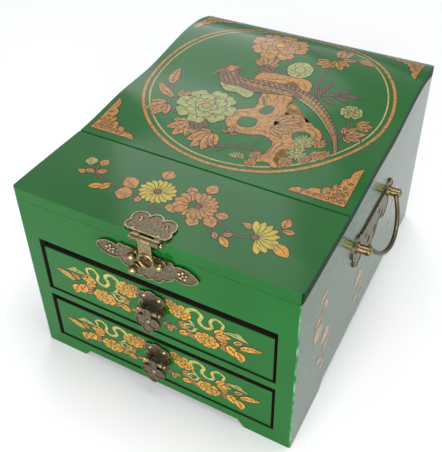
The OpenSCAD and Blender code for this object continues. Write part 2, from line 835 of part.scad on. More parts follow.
module at_pull_pin(i) { translate([0, pull_face_y - sheet_t - pull_stand, pull_z(i)]) children(); }

module pull_bore() { barrel(-pull_top, pull_top, pull_pin_r + pin_clear); }

module pull_plate(i) {
    color(old_brass) difference() {
        union() {
            on_front(pull_face_y) translate([0, pull_z(i), 0])
                rimmed_sheet() { pull_outline(0); pull_outline(rim_w); }
            for (s = [-1, 1]) {
                a = s * (pull_barrel_half + pull_lug_gap);
                b = a + s * pull_lug_w;
                at_pull_pin(i) {
                    barrel(min(a, b), max(a, b), pull_barrel_r);
                    block([min(a, b), max(a, b)], [0, pull_stand + eps], [-pull_barrel_r, pull_barrel_r]);
                }
            }
        }
        at_pull_pin(i) pull_bore();
        at_pull_nails(i) nail_bore();
    }
}

module pull_nails(i) { color(brass) at_pull_nails(i) nail(); }

module pull_pin(i) {
    half = pull_barrel_half + pull_lug_gap + pull_lug_w;
    color(brass) at_pull_pin(i) {
        barrel(-half, half, pull_pin_r);
        for (s = [-1, 1]) translate([s * (half + pull_bead_r * 0.8), 0, 0]) sphere(pull_bead_r);
    }
}

// The hanging leaf, measured from the pin
module leaf_outline(inset) {
    lobes(leaf_lobes, inset);
    translate([inset - leaf_neck_w / 2, -leaf_neck_l])
        square([leaf_neck_w - 2 * inset, leaf_neck_l + leaf_neck_top]);
}

module pull_drop(i) {
    color(old_brass) at_pull_pin(i) rotate([-pull_tilt, 0, 0]) difference() {
        union() {
            barrel(-pull_barrel_half, pull_barrel_half, pull_barrel_r);
            on_front(-pull_barrel_r + pull_leaf_t) {
                linear_extrude(pull_leaf_t) leaf_outline(0);
                linear_extrude(pull_leaf_t + rim_t) difference() { leaf_outline(0); leaf_outline(rim_w); }
                intersection() {
                    translate([0, leaf_dome_y, pull_leaf_t - leaf_dome_sink]) sphere(leaf_dome_r);
                    translate([0, leaf_dome_y, 0]) cylinder(r = 2 * leaf_dome_r, h = 2 * leaf_dome_r);
                }
            }
        }
        pull_bore();
    }
}

module upper_drawer_front() { drawer_front(UPPER); }
module upper_drawer_left() { drawer_side(UPPER, -1); }
module upper_drawer_right() { drawer_side(UPPER, 1); }
module upper_drawer_back() { drawer_back(UPPER); }
module upper_drawer_bottom() { drawer_bottom(UPPER); }
module upper_drawer_lining() { drawer_lining(UPPER); }
module upper_pull_plate() { pull_plate(UPPER); }
module upper_pull_nails() { pull_nails(UPPER); }
module upper_pull_pin() { pull_pin(UPPER); }
module upper_pull_drop() { pull_drop(UPPER); }
module lower_drawer_front() { drawer_front(LOWER); }
module lower_drawer_left() { drawer_side(LOWER, -1); }
module lower_drawer_right() { drawer_side(LOWER, 1); }
module lower_drawer_back() { drawer_back(LOWER); }
module lower_drawer_bottom() { drawer_bottom(LOWER); }
module lower_drawer_lining() { drawer_lining(LOWER); }
module lower_pull_plate() { pull_plate(LOWER); }
module lower_pull_nails() { pull_nails(LOWER); }
module lower_pull_pin() { pull_pin(LOWER); }
module lower_pull_drop() { pull_drop(LOWER); }

left_side();
right_side();
back_panel();
top_rail();
front_apron();
bottom_board();
drawer_divider();
tray_board();
tray_lining();
tray_divider_cross();
tray_divider_long();
ring_cushion();
lock_plate();
lock_studs();
right_handle_plate();
right_posts();
right_bail();
left_handle_plate();
left_posts();
left_bail();
hinge_leaves_case();
hinge_nails_case();
hinge_pins();
hinge_leaves_lid();
hinge_nails_lid();
lid_front_board();
lid_rear_board();
lid_batten();
mirror_wedge();
mirror_frame();
mirror_glass();
hasp_plate();
hasp_nails();
hasp_pin();
hasp_strap();
upper_drawer_front();
upper_drawer_left();
upper_drawer_right();
upper_drawer_back();
upper_drawer_bottom();
upper_drawer_lining();
upper_pull_plate();
upper_pull_nails();
upper_pull_pin();
upper_pull_drop();
lower_drawer_front();
lower_drawer_left();
lower_drawer_right();
lower_drawer_back();
lower_drawer_bottom();
lower_drawer_lining();
lower_pull_plate();
lower_pull_nails();
lower_pull_pin();
lower_pull_drop();
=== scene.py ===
"""Jewellery chest in green lacquer: camera, light, finishes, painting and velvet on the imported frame."""
import json
import math
import random

import bmesh
import bpy
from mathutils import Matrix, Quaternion, Vector
from mathutils.bvhtree import BVHTree


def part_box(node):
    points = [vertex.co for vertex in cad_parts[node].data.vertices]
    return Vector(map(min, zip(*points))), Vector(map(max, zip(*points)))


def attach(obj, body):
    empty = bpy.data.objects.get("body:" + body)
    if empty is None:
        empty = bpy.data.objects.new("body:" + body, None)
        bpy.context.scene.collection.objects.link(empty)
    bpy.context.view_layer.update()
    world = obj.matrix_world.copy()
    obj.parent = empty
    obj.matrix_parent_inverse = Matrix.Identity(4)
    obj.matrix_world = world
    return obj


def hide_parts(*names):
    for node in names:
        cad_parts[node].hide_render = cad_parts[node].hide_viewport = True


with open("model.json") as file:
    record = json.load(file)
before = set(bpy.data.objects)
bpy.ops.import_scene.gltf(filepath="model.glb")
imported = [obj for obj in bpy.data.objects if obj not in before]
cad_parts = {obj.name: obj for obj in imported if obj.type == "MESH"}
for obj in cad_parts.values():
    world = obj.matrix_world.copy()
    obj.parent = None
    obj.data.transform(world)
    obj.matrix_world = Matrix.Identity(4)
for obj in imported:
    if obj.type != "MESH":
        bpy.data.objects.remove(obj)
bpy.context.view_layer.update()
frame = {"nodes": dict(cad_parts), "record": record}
NODES = frame["nodes"]
MM = 0.001


# ---- Camera, floor and light ----------------------------------------------

def look(thing, target, roll=0.0):
    """Turns a camera or a lamp towards a point."""
    aim = (Vector(target) - thing.location).to_track_quat("-Z", "Y")
    thing.rotation_mode = "QUATERNION"
    thing.rotation_quaternion = aim @ Quaternion((0, 0, 1), roll)


def make_camera():
    """A lens a little longer than normal, looking down on the chest from the right of its front."""
    lens = bpy.data.cameras.new("camera")
    lens.sensor_width = 36
    lens.lens = 56.0
    lens.shift_y = -0.12
    camera = bpy.data.objects.new("camera", lens)
    camera.location = (0.18506, -0.37406, 0.43027)
    look(camera, (-0.0427, 0.0410, 0.0617), math.radians(-1.05))
    bpy.context.scene.collection.objects.link(camera)
    bpy.context.scene.camera = camera


def softbox(name, place, target, size, power):
    """A white lamp behind a sheet of diffuser, size metres wide and high, of that many watts."""
    lamp = bpy.data.lights.new(name, "AREA")
    lamp.shape = "RECTANGLE"
    lamp.size = size[0]
    lamp.size_y = size[1]
    lamp.energy = power
    holder = bpy.data.objects.new(name, lamp)
    holder.location = place
    look(holder, target)
    bpy.context.scene.collection.objects.link(holder)


def make_light():
    """Soft daylight, a lamp in front, one above, and two windows behind that the lid reflects."""
    world = bpy.data.worlds.new("studio")
    bpy.context.scene.world = world
    world.use_nodes = True
    sky = world.node_tree.nodes["Background"]
    sky.inputs["Color"].default_value = linear("#f2f6fa")
    sky.inputs["Strength"].default_value = 0.5
    bpy.context.scene.view_settings.view_transform = "Standard"
    softbox("front_box", (0.35, -1.5, 0.38), (0, 0, 0.08), (1.8, 1.2), 43.0)
    softbox("top_box", (0.35, 0.1, 1.6), (0.35, 0.1, 0), (0.8, 0.8), 13.0)
    softbox("window_back", (-0.95, 1.55, 1.3), (0, 0, 0.1), (1.6, 1.6), 7.0)
    softbox("window_middle", (-0.78, 1.3, 1.25), (0, 0, 0.1), (0.6, 1.2), 4.0)


def make_floor():
    """White paper under the chest, wide enough to fill the view."""
    reach = 3.0
    mesh = bpy.data.meshes.new("floor")
    corners = [(-reach, -reach, 0), (reach, -reach, 0), (reach, reach, 0), (-reach, reach, 0)]
    mesh.from_pydata(corners, [], [(0, 1, 2, 3)])
    floor = bpy.data.objects.new("floor", mesh)
    bpy.context.scene.collection.objects.link(floor)
    paper = bpy.data.materials.new("white_paper")
    paper.use_nodes = True
    shader = paper.node_tree.nodes["Principled BSDF"]
    shader.inputs["Base Color"].default_value = linear("#f0f0f0")
    shader.inputs["Roughness"].default_value = 0.9
    mesh.materials.append(paper)


# ---- Finishes --------------------------------------------------------------

def linear(colour):
    """An sRGB hex colour as linear red, green, blue and alpha."""
    parts = [int(colour[i:i + 2], 16) / 255 for i in (1, 3, 5)]
    return [c / 12.92 if c <= 0.04045 else ((c + 0.055) / 1.055) ** 2.4 for c in parts] + [1.0]


# How strongly a clear coat bends light: real lacquer is about 1.5. This is lower,
# matched to how little the chest reflects, and a little higher on the side boards.
CLEAR_COAT = 1.32
SIDE_COAT = 1.36


def per(mm):
    """The scale of a pattern whose features are that many millimetres across."""
    return 1000 / mm


def add(finish, kind, sockets=None, **settings):
    """Adds a node; a socket takes a value or is linked to another node's output."""
    node = finish.node_tree.nodes.new(kind)
    for name, value in settings.items():
        setattr(node, name, value)
    for socket, value in (sockets or {}).items():
        if isinstance(value, bpy.types.NodeSocket):
            finish.node_tree.links.new(value, node.inputs[socket])
        else:
            node.inputs[socket].default_value = value
    return node


def start(name, **sockets):
    """A material with its shader's plain values set; returns it with the shader and place on the object."""
    finish = bpy.data.materials.new(name)
    finish.use_nodes = True
    shader = finish.node_tree.nodes["Principled BSDF"]
    for socket, value in sockets.items():
        shader.inputs[socket.replace("_", " ")].default_value = value
    return finish, shader, add(finish, "ShaderNodeTexCoord").outputs["Object"]


def feed(finish, shader, **sources):
    """Links outputs to the shader's sockets."""
    for socket, source in sources.items():
        finish.node_tree.links.new(source, shader.inputs[socket.replace("_", " ")])


# Sockets of the Mix node when it mixes colours
FACTOR, FIRST, SECOND, MIXED = 0, 6, 7, 2


def polished_lacquer(name, deep, bright, gloss=1.0):
    """Brushed and rubbed lacquer on wood: even colour with a soft cloudiness under a clear gloss."""
    finish, shader, place = start(name, Roughness=0.3, Specular_IOR_Level=0.0, Coat_Weight=gloss,
                                  Coat_Roughness=0.13, Coat_IOR=CLEAR_COAT)
    clouds = add(finish, "ShaderNodeTexNoise", {"Vector": place, "Scale": per(45), "Detail": 4.0})
    colour = add(finish, "ShaderNodeMix", {FACTOR: clouds.outputs["Fac"], FIRST: linear(deep),
                 SECOND: linear(bright)}, data_type="RGBA")
    ripple = add(finish, "ShaderNodeTexNoise", {"Vector": place, "Scale": per(6), "Detail": 3.0})
    bump = add(finish, "ShaderNodeBump", {"Height": ripple.outputs["Fac"], "Strength": 0.25,
               "Distance": 0.05 * MM})
    feed(finish, shader, Base_Color=colour.outputs[MIXED], Normal=bump.outputs["Normal"],
         Coat_Normal=bump.outputs["Normal"])
    return finish


def grained_lacquer():
    """The same lacquer on an open-grained side board: it sinks into the grain and shines in streaks."""
    finish, shader, place = start("grained_lacquer", Roughness=0.35, Specular_IOR_Level=0.0, Coat_Weight=1.0,
                                  Coat_Roughness=0.12, Coat_IOR=SIDE_COAT)
    along = add(finish, "ShaderNodeMapping", {"Vector": place, "Scale": (1, 0.05, 1)})
    grain = add(finish, "ShaderNodeTexNoise", {"Vector": along.outputs["Vector"], "Scale": per(1.8),
                "Detail": 4.0})
    colour = add(finish, "ShaderNodeMix", {FACTOR: grain.outputs["Fac"], FIRST: linear("#033010"),
                 SECOND: linear("#0b4c1e")}, data_type="RGBA")
    bump = add(finish, "ShaderNodeBump", {"Height": grain.outputs["Fac"], "Strength": 0.9,
               "Distance": 0.3 * MM})
    feed(finish, shader, Base_Color=colour.outputs[MIXED], Normal=bump.outputs["Normal"],
         Coat_Normal=bump.outputs["Normal"])
    return finish


def edge_highlight_lacquer():
    """Pale green on eased edges: a painted highlight along each rounded edge, broken by noise into short
    lengths.
    """
    finish, shader, place = start("edge_highlight_lacquer", Roughness=0.35, Specular_IOR_Level=0.0, Coat_Weight=1.0,
                                  Coat_Roughness=0.2, Coat_IOR=CLEAR_COAT)
    highlight_breaks = add(finish, "ShaderNodeTexNoise", {"Vector": place, "Scale": per(7), "Detail": 5.0})
    highlight_mask = add(finish, "ShaderNodeMapRange", {"Value": highlight_breaks.outputs["Fac"], "From Min": 0.4,
               "From Max": 0.75})
    colour = add(finish, "ShaderNodeMix", {FACTOR: highlight_mask.outputs["Result"], FIRST: linear("#0c5c22"),
                 SECOND: linear("#6fa07c")}, data_type="RGBA")
    feed(finish, shader, Base_Color=colour.outputs[MIXED])
    return finish


def stained_wood():
    """Wood stained black and left satin: the grain shows as fine brown streaks from front to back."""
    finish, shader, place = start("black_stained_wood", Roughness=0.5)
    along = add(finish, "ShaderNodeMapping", {"Vector": place, "Scale": (1, 0.06, 1)})
    grain = add(finish, "ShaderNodeTexNoise", {"Vector": along.outputs["Vector"], "Scale": per(1.6),
                "Detail": 5.0})
    colour = add(finish, "ShaderNodeMix", {FACTOR: grain.outputs["Fac"], FIRST: linear("#14110e"),
                 SECOND: linear("#33291f")}, data_type="RGBA")
    bump = add(finish, "ShaderNodeBump", {"Height": grain.outputs["Fac"], "Strength": 0.3,
               "Distance": 0.1 * MM})
    feed(finish, shader, Base_Color=colour.outputs[MIXED], Normal=bump.outputs["Normal"])
    return finish


def antiqued_brass(name, dark, light, roughness):
    """Stamped brass dipped to darken it and rubbed back: dark in the hollows, yellow where hands touch it."""
    finish, shader, place = start(name, Metallic=1.0, Roughness=roughness)
    patina = add(finish, "ShaderNodeTexNoise", {"Vector": place, "Scale": per(1.6), "Detail": 6.0})
    ramp = add(finish, "ShaderNodeMapRange", {"Value": patina.outputs["Fac"], "From Min": 0.35,
               "From Max": 0.7})
    colour = add(finish, "ShaderNodeMix", {FACTOR: ramp.outputs["Result"], FIRST: linear(dark),
                 SECOND: linear(light)}, data_type="RGBA")
    pits = add(finish, "ShaderNodeTexNoise", {"Vector": place, "Scale": per(0.9), "Detail": 3.0})
    bump = add(finish, "ShaderNodeBump", {"Height": pits.outputs["Fac"], "Strength": 0.5,
               "Distance": 0.12 * MM})
    feed(finish, shader, Base_Color=colour.outputs[MIXED], Normal=bump.outputs["Normal"])
    return finish


def stippled_brass():
    """The middle of the lock plate is punched all over with a blunt point and stays nearly black."""
    finish, shader, place = start("stippled_brass", Metallic=1.0, Roughness=0.46)
    dots = add(finish, "ShaderNodeTexVoronoi", {"Vector": place, "Scale": per(1.5)})
    colour = add(finish, "ShaderNodeMix", {FACTOR: dots.outputs["Distance"], FIRST: linear("#2c261e"),
                 SECOND: linear("#8d8068")}, data_type="RGBA")
    bump = add(finish, "ShaderNodeBump", {"Height": dots.outputs["Distance"], "Strength": 0.9,
               "Distance": 0.4 * MM})
    feed(finish, shader, Base_Color=colour.outputs[MIXED], Normal=bump.outputs["Normal"])
    return finish


def red_velvet(name):
    """Short cotton pile: dark red straight on and paler at a glancing angle, brushed in patches."""
    finish, shader, place = start(name, Roughness=0.85, Sheen_Weight=0.6, Sheen_Roughness=0.35,
                                  Sheen_Tint=linear("#e08a8a"))
    brushed = add(finish, "ShaderNodeTexNoise", {"Vector": place, "Scale": per(14), "Detail": 5.0})
    colour = add(finish, "ShaderNodeMix", {FACTOR: brushed.outputs["Fac"], FIRST: linear("#4a0d16"),
                 SECOND: linear("#8a1c2b")}, data_type="RGBA")
    pile = add(finish, "ShaderNodeTexNoise", {"Vector": place, "Scale": per(0.5), "Detail": 2.0})
    bump = add(finish, "ShaderNodeBump", {"Height": pile.outputs["Fac"], "Strength": 0.6,
               "Distance": 0.2 * MM})
    feed(finish, shader, Base_Color=colour.outputs[MIXED], Normal=bump.outputs["Normal"])
    return finish


def enamel(name, thin, thick):
    """Oil enamel laid on by hand: slightly streaky where the brush ran thin, satin under the polish."""
    finish, shader, place = start(name, Roughness=0.5, Specular_IOR_Level=0.0, Coat_Weight=1.0,
                                  Coat_Roughness=0.15, Coat_IOR=CLEAR_COAT)
    streaks = add(finish, "ShaderNodeTexNoise", {"Vector": place, "Scale": per(2.2), "Detail": 4.0})
    spread = add(finish, "ShaderNodeMapRange", {"Value": streaks.outputs["Fac"], "From Min": 0.3,
                 "From Max": 0.6})
    colour = add(finish, "ShaderNodeMix", {FACTOR: spread.outputs["Result"], FIRST: linear(thin),
                 SECOND: linear(thick)}, data_type="RGBA")
    feed(finish, shader, Base_Color=colour.outputs[MIXED])
    return finish


def mirror_glass():
    """Float glass silvered on the back: a clear reflection with a faint green cast and a few specks."""
    finish, shader, place = start("silvered_glass", Metallic=1.0, Roughness=0.02)
    specks = add(finish, "ShaderNodeTexNoise", {"Vector": place, "Scale": per(2.5), "Detail": 4.0})
    old = add(finish, "ShaderNodeMapRange", {"Value": specks.outputs["Fac"], "From Min": 0.66,
              "From Max": 0.74})
    colour = add(finish, "ShaderNodeMix", {FACTOR: old.outputs["Result"], FIRST: linear("#e6ecea"),
                 SECOND: linear("#9fa6a2")}, data_type="RGBA")
    feed(finish, shader, Base_Color=colour.outputs[MIXED])
    return finish


def make_finishes():
    """One finish for each material slot of the record."""
    return {
        "lacquer": polished_lacquer("green_lacquer", "#02470f", "#045a1a"),
        "stained_wood": stained_wood(),
        "velvet": red_velvet("glued_velvet"),
        "ring_velvet": red_velvet("padded_velvet"),
        "mirror": mirror_glass(),
        "old_brass": antiqued_brass("antiqued_brass", "#584f41", "#7c705a", 0.42),
        "bright_brass": antiqued_brass("tumbled_brass", "#6c5e40", "#ab986a", 0.3),
    }


def make_paints(lacquer):
    """The painter's pots, and the lacquer itself where it shows through a hole in the rock."""
    return {
        "ink": enamel("brown_ink", "#2b1d12", "#1a120c"),
        "tan": enamel("tan_enamel", "#744f20", "#a4763a"),
        "gold": enamel("ochre_enamel", "#8a641c", "#b9862a"),
        "pale_gold": enamel("straw_enamel", "#857824", "#ab9a34"),
        "cream": enamel("pale_enamel", "#666d3c", "#8d9152"),
        "buff": enamel("buff_enamel", "#86703f", "#ab935c"),
        "rust": enamel("russet_enamel", "#4a3322", "#684a33"),
        "lacquer": lacquer,
    }


def finish_nodes(finishes):
    """Gives every CAD node the finish of its material slot."""
    for row in frame["record"]["subparts"]:
        node = NODES[row["node"]]
        node.data.materials.clear()
        node.data.materials.append(finishes[row["material_slot"]])


def refinish(node, finish, chosen):
    """Gives the faces that chosen(centre, normal) picks a second finish."""
    mesh = NODES[node].data
    mesh.materials.append(finish)
    for polygon in mesh.polygons:
        if chosen(polygon.center, polygon.normal):
            polygon.material_index = len(mesh.materials) - 1


def stain_inner_faces_and_shade_gap(stain_and_gap_shade):
    """Only the outside is lacquered: inner faces, gaps and the underside of the lid are stained black; on the
    lid's underside and the side boards' top edges the black is also painted shade, so the gap between lid and
    case reads dark.
    """
    for node in ("upper_drawer_front", "lower_drawer_front", "top_rail", "drawer_divider", "front_apron"):
        refinish(node, stain_and_gap_shade, lambda centre, normal: normal.y > -0.5)
    for node, side in (("left_side", -1), ("right_side", 1)):
        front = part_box(node)[0].y + 0.5 * MM
        # Inner faces are black as on the chest; the top edges are black also as painted shade in the gap
        # under the lid
        refinish(node, stain_and_gap_shade, lambda centre, normal, side=side, front=front: centre.y > front
                 and (normal.x * side < -0.5 or normal.z > 0.5))
    # The lid's underside is black partly as painted shade, so the gap over the case reads dark
    for node in ("lid_front_board", "lid_rear_board"):
        refinish(node, stain_and_gap_shade, lambda centre, normal: normal.z < -0.5)
    refinish("back_panel", stain_and_gap_shade, lambda centre, normal: normal.y < 0.5)


def paint_lid_end_shade(lid_end_shade):
    """Both ends of the lid boards get a darker, duller green: painted shade standing in for the shadow under
    the lid's overhang.
    """
    for node in ("lid_front_board", "lid_rear_board"):
        refinish(node, lid_end_shade, lambda centre, normal: abs(normal.x) > 0.7)


def grain_sides(grained):
    """The outsides of the side boards have the open grain."""
    for node in ("left_side", "right_side"):
        refinish(node, grained, lambda centre, normal: normal.x * centre.x > 0.7 * abs(centre.x))


def stipple_lock(stippled):
    """Only the middle of the lock plate is punched; its two wings stay plain."""
    half_width = 19 * MM
    low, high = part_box("lock_plate")
    middle = (low.x + high.x) / 2
    refinish("lock_plate", stippled, lambda centre, normal: abs(centre.x - middle) < half_width)


def rub_back(rubbed):
    """Polishing takes the dark dip off whatever stands proud: the rims, the flowers, the round bars."""
    touch = 0.05 * MM
    relief = 1.5 * MM
    for node in ("lock_plate", "upper_pull_plate", "lower_pull_plate"):
        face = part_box("top_rail")[0].y if node == "lock_plate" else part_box("upper_drawer_front")[0].y
        rim = face - relief + touch
        refinish(node, rubbed, lambda centre, normal, rim=rim: centre.y < rim)
    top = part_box("lid_front_board")[1].z + relief - touch
    refinish("hasp_plate", rubbed, lambda centre, normal: centre.z > top)
    for node, side in (("left_handle_plate", -1), ("right_handle_plate", 1)):
        rim = max(abs(corner.x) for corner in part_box(node)) - touch
        refinish(node, rubbed, lambda centre, normal, rim=rim: abs(centre.x) > rim)


# ---- Eased edges ---------------------------------------------------------------

def sharp_edges(mesh, least_angle):
    """The ends of a mesh's sharp edges, found on a joined-up copy."""
    joined = bmesh.new()
    joined.from_mesh(mesh)
    bmesh.ops.remove_doubles(joined, verts=joined.verts[:], dist=0.001 * MM)
    found = set()
    for edge in joined.edges:
        if len(edge.link_faces) == 2 and edge.calc_face_angle(0) > least_angle:
            found.add(frozenset(tuple(round(c, 6) for c in v.co) for v in edge.verts))
    joined.free()
    return found


def ease_edges(node, width, edge_highlight, chosen):
    """Rounds the sharp edges that chosen(one end, other end) picks, as sanding and thick lacquer do."""
    mesh = NODES[node].data
    sharp = sharp_edges(mesh, math.radians(32))
    curved = node == "lid_rear_board"
    for polygon in mesh.polygons:
        polygon.use_smooth = curved
    weights = mesh.attributes.new("bevel_weight_edge", "FLOAT", "EDGE")
    eased_ones = []
    for edge in mesh.edges:
        a, b = (mesh.vertices[i].co for i in edge.vertices)
        key = frozenset(tuple(round(c, 6) for c in v) for v in (a, b))
        is_eased = key in sharp and chosen(a, b)
        eased_ones.append(1.0 if is_eased else 0.0)
        edge.use_edge_sharp = key in sharp and not is_eased
    mesh.attributes["bevel_weight_edge"].data.foreach_set("value", eased_ones)
    weld = NODES[node].modifiers.new("joined", "WELD")
    weld.merge_threshold = 0.001 * MM
    eased = NODES[node].modifiers.new("eased", "BEVEL")
    eased.limit_method = "WEIGHT"
    eased.width = width * MM
    eased.segments = 3
    # The bevel's faces take the pale finish, a painted highlight along the eased edge
    if edge_highlight:
        NODES[node].data.materials.append(edge_highlight)
        eased.material = len(NODES[node].data.materials) - 1
    if curved:
        even = NODES[node].modifiers.new("even_shading", "WEIGHTED_NORMAL")
        even.weight = 80
        even.keep_sharp = True


def ease_boards(edge_highlight):
    """Eases the corners that hands and cloths reach."""
    bore = 1.2 * MM
    corner = 3.1 * MM
    for node in ("lid_front_board", "lid_rear_board"):
        edge_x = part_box(node)[1].x - corner
        ease_edges(node, 1.1, edge_highlight, lambda a, b, edge_x=edge_x: (a - b).length > bore or abs(a.x) > edge_x)
    for node in ("upper_drawer_front", "lower_drawer_front", "mirror_frame"):
        ease_edges(node, 0.5, None, lambda a, b: (a - b).length > bore)
    for node, side in (("left_side", -1), ("right_side", 1)):
        face = max(abs(c.x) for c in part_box(node)) - 0.01 * MM
        ease_edges(node, 0.9, edge_highlight, lambda a, b, face=face: min(abs(a.x), abs(b.x)) > face
                   and (a - b).length > bore)


# ---- Brushwork, on a flat plan in millimetres --------------------------------
# A plan is a list of (paint, polygons), in the order that the brush lays them.

# How much heavier than a hair the drawn lines are
LINE = 1.4


def turned(x, y, angle, along, across=0.0):
    """The point that lies along and across a direction in degrees, seen from (x, y)."""
    a = math.radians(angle)
    return (x + along * math.cos(a) - across * math.sin(a), y + along * math.sin(a) + across * math.cos(a))


def smooth(points, steps=5):
    """A smooth line through a few chosen points."""
    ends = [points[0], *points, points[-1]]
    line = []
    for i in range(1, len(ends) - 2):
        p0, p1, p2, p3 = ends[i - 1:i + 3]
        for k in range(steps):
            t = k / steps
            line.append(tuple(0.5 * (2 * b + (c - a) * t + (2 * a - 5 * b + 4 * c - d) * t ** 2
                                     + (3 * b - a - 3 * c + d) * t ** 3)
                              for a, b, c, d in zip(p0, p1, p2, p3)))
    return line + [tuple(points[-1])]


def ribbon(line, width_at):
    """Quads along a line; width_at gives the full width from 0, the start, to 1, the end."""
    edges = []
    for i, (x, y) in enumerate(line):
        before, after = line[max(i - 1, 0)], line[min(i + 1, len(line) - 1)]
        angle = math.degrees(math.atan2(after[1] - before[1], after[0] - before[0]))
        half = width_at(i / (len(line) - 1)) / 2
        edges.append((turned(x, y, angle, 0, half), turned(x, y, angle, 0, -half)))
    return [[a[0], a[1], b[1], b[0]] for a, b in zip(edges, edges[1:])]


def stroke(plan, colour, points, width, tip=0.4, ink=0.0):
    """A brush stroke that thins towards its end, with a dark line round it if ink is given."""
    line = smooth(points)
    if colour == "ink":
        width = width * LINE
    if ink:
        plan.append(("ink", ribbon(line, lambda t: width * (1 - (1 - tip) * t) + 2 * ink * LINE)))
    plan.append((colour, ribbon(line, lambda t: width * (1 - (1 - tip) * t))))


def grown(outline, by):
    """The same outline moved outwards."""
    out = []
    for i, (x, y) in enumerate(outline):
        before, after = outline[i - 1], outline[(i + 1) % len(outline)]
        angle = math.degrees(math.atan2(after[1] - before[1], after[0] - before[0]))
        out.append(turned(x, y, angle, 0, -by))
    return out


def fill(plan, colour, outline, ink=0.4):
    """A filled shape, drawn anticlockwise, with a dark line round it."""
    if ink:
        plan.append(("ink", [grown(outline, ink * LINE)]))
    plan.append((colour, [outline]))


def petal_shape(x, y, length, width, angle, fullness=1.0, bend=0.0):
    """A petal or leaf from its root at (x, y); fullness over 1 moves its widest place to the tip."""
    steps = 9
    sides = ([], [])
    for i in range(steps + 1):
        t = i / steps
        half = width / 2 * math.sin(math.pi * t ** fullness) ** 0.8 if 0 < t < 1 else 0
        lift = bend * math.sin(math.pi * t)
        sides[0].append(turned(x, y, angle, t * length, lift - half))
        sides[1].append(turned(x, y, angle, t * length, lift + half))
    return sides[0] + sides[1][-2:0:-1]


def inside(outline, x, y):
    """Whether a point lies within an outline."""
    crossings = 0
    for (ax, ay), (bx, by) in zip(outline, outline[1:] + outline[:1]):
        if (ay > y) != (by > y) and x < ax + (bx - ax) * (y - ay) / (by - ay):
            crossings += 1
    return crossings % 2 == 1


def cloud_shape(x, y, radius, lobes, depth=0.18, turn=0.0, squash=1.0):
    """A round shape with a scalloped edge; squash flattens it across the turn."""
    count = lobes * 6
    out = []
    for i in range(count):
        a = 360 * i / count
        r = radius * (1 - depth + depth * abs(math.sin(math.radians(lobes * a / 2))))
        along, across = turned(0, 0, a, r)
        out.append(turned(x, y, turn, along, across * squash))
    return out


def leaf(plan, x, y, length, width, angle, colour="tan", bend=0.0, veins=2):
    """A pointed leaf with a midrib and side veins."""
    fill(plan, colour, petal_shape(x, y, length, width, angle, 0.85, bend))
    rib = [turned(x, y, angle, length * t, bend * math.sin(math.pi * t)) for t in (0, 0.35, 0.7, 0.95)]
    stroke(plan, "ink", rib, 0.5)
    for i in range(veins):
        t = (i + 1) / (veins + 1.6)
        root = turned(x, y, angle, length * t, bend * math.sin(math.pi * t))
        for side in (-1, 1):
            end = turned(*root, angle + side * 38, width * 0.42)
            stroke(plan, "ink", [root, end], 0.35)


def spray(plan, x, y, size, angle, count, spread, colour="tan"):
    """Leaves fanned out from one stem."""
    for i in range(count):
        turn = angle + spread * (i / (count - 1) - 0.5)
        length = size * (0.78 + 0.22 * math.cos(math.radians(2 * (turn - angle))))
        leaf(plan, *turned(x, y, turn, size * 0.08), length * 0.92, length * 0.42, turn, colour)


def peony(plan, x, y, size, colour, seed, squash=1.0, heart="tan"):
    """A full flower: three rounds of scalloped petals over each other, with short creases."""
    draw = random.Random(seed)
    line = min(0.4, 0.12 + size * 0.022)
    for reach, count, wide in ((0.66, 8, 0.40), (0.38, 6, 0.34), (0.13, 4, 0.25)):
        first = draw.uniform(0, 360)
        for i in range(count):
            a = first + 360 * i / count + draw.uniform(-6, 6)
            cx, cy = turned(0, 0, a, size * reach)
            cx, cy = x + cx, y + cy * squash
            fill(plan, colour, cloud_shape(cx, cy, size * wide, 5, 0.2, a, 0.9), line)
            for side in (-14, 0, 14) if size > 7 else (0,):
                start_at = turned(cx, cy, a + side, -size * wide * 0.35)
                stroke(plan, "ink", [start_at, turned(cx, cy, a + side, size * wide * 0.35)], line * 0.9)
    fill(plan, heart, cloud_shape(x, y, size * 0.16, 5, 0.25), line)


def daisy(plan, x, y, size, colour, count, start_at=0, sweep=360, squash=1.0):
    """Long blunt petals round a small ringed middle."""
    for i in range(count):
        a = start_at + sweep * i / count
        reach = size * (1 - (1 - squash) * abs(math.sin(math.radians(a))))
        root = turned(x, y, a, size * 0.16)
        fill(plan, colour, petal_shape(*root, reach * 0.84, size * 0.34, a, 1.55), 0.35)
    fill(plan, "ink", cloud_shape(x, y, size * 0.2, 6, 0.1), 0)
    fill(plan, "rust", cloud_shape(x, y, size * 0.13, 5, 0.1), 0)


def needle_flower(plan, x, y, size, seed, colour="cream", start_at=0, sweep=360):
    """A small chrysanthemum: two rounds of thin petals."""
    for reach, count in ((1.0, 15), (0.6, 11)):
        for i in range(count):
            a = start_at + sweep * (i + 0.5 * (reach < 1)) / count + 5 * math.sin(seed + 3 * i)
            fill(plan, colour, petal_shape(*turned(x, y, a, size * 0.12), size * reach * 0.85,
                 size * 0.2, a, 1.3), 0.2)
    fill(plan, "gold", cloud_shape(x, y, size * 0.14, 5, 0.1), 0.2)


def bud(plan, x, y, length, width, angle, colour):
    """A closed bud with one crease."""
    fill(plan, colour, petal_shape(x, y, length, width, angle, 1.0))
    stroke(plan, "ink", [turned(x, y, angle, length * 0.1), turned(x, y, angle, length * 0.5, width * 0.08),
           turned(x, y, angle, length * 0.85)], 0.4)


def curl(plan, x, y, radius, angle, turns=1.1, side=1, width=0.45):
    """A thin spiral scroll line."""
    count = 14
    line = [turned(x, y, angle + side * 360 * turns * i / count, radius * (1 - 0.8 * i / count))
            for i in range(count + 1)]
    plan.append(("ink", ribbon(line, lambda t: width)))


